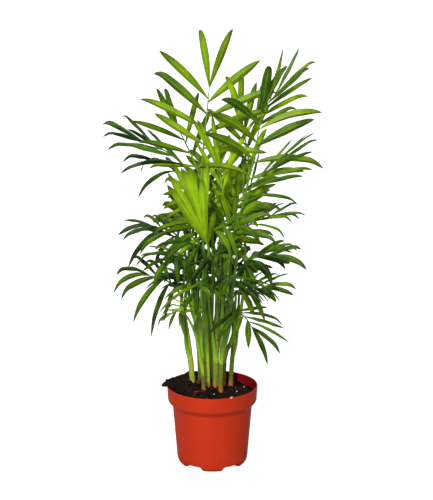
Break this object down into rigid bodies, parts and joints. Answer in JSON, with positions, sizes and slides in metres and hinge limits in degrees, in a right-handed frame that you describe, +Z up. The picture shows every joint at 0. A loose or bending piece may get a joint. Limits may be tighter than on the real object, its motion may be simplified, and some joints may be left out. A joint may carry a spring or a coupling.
{
  "type": "potted palm",
  "caption": "Small clumping palm with feather-shaped fronds on slender green stems, growing in a round thin-walled nursery pot filled with dark potting mix.",
  "frame": {"origin": "on the surface the pot stands on, under the middle of the pot", "axes": "+Z up along the pot's axis, the longest extent; -Y towards the plant's front, which the picture looks at"},
  "size_m": [0.2553, 0.252, 0.5222],
  "materials": {
    "pot_plastic": "smooth moulded plastic, terracotta orange, soft sheen",
    "potting_mix": null,
    "stem": null,
    "young_leaf": null,
    "mature_leaf": null
  },
  "bodies": {
    "root": {"pot": "pot_plastic", "potting_mix": "potting_mix", "stem_1": "stem", "stem_2": "stem", "stem_3": "stem", "stem_4": "stem", "stem_5": "stem", "stem_6": "stem", "stem_7": "stem", "stem_8": "stem", "stem_9": "stem", "stem_10": "stem", "stem_11": "stem", "frond_1": "young_leaf", "frond_2": "mature_leaf", "frond_3": "young_leaf", "frond_4": "mature_leaf", "frond_5": "mature_leaf", "frond_6": "mature_leaf", "frond_7": "young_leaf", "frond_8": "young_leaf", "frond_9": "mature_leaf", "frond_10": "mature_leaf", "frond_11": "mature_leaf", "frond_12": "mature_leaf", "frond_13": "mature_leaf", "frond_14": "mature_leaf", "frond_15": "mature_leaf", "frond_16": "young_leaf", "frond_17": "mature_leaf", "frond_18": "mature_leaf", "frond_19": "mature_leaf", "frond_20": "mature_leaf", "frond_21": "mature_leaf", "frond_22": "mature_leaf", "frond_23": "mature_leaf", "frond_24": "mature_leaf", "frond_25": "mature_leaf", "frond_26": "mature_leaf", "frond_27": "mature_leaf", "frond_28": "mature_leaf", "frond_29": "mature_leaf", "frond_30": "mature_leaf", "frond_31": "mature_leaf", "frond_32": "mature_leaf", "frond_33": "mature_leaf", "frond_34": "mature_leaf", "frond_35": "mature_leaf", "frond_36": "young_leaf", "frond_37": "mature_leaf", "frond_38": "mature_leaf", "frond_39": "mature_leaf", "frond_40": "mature_leaf", "frond_41": "mature_leaf"}
  },
  "joints": []
}
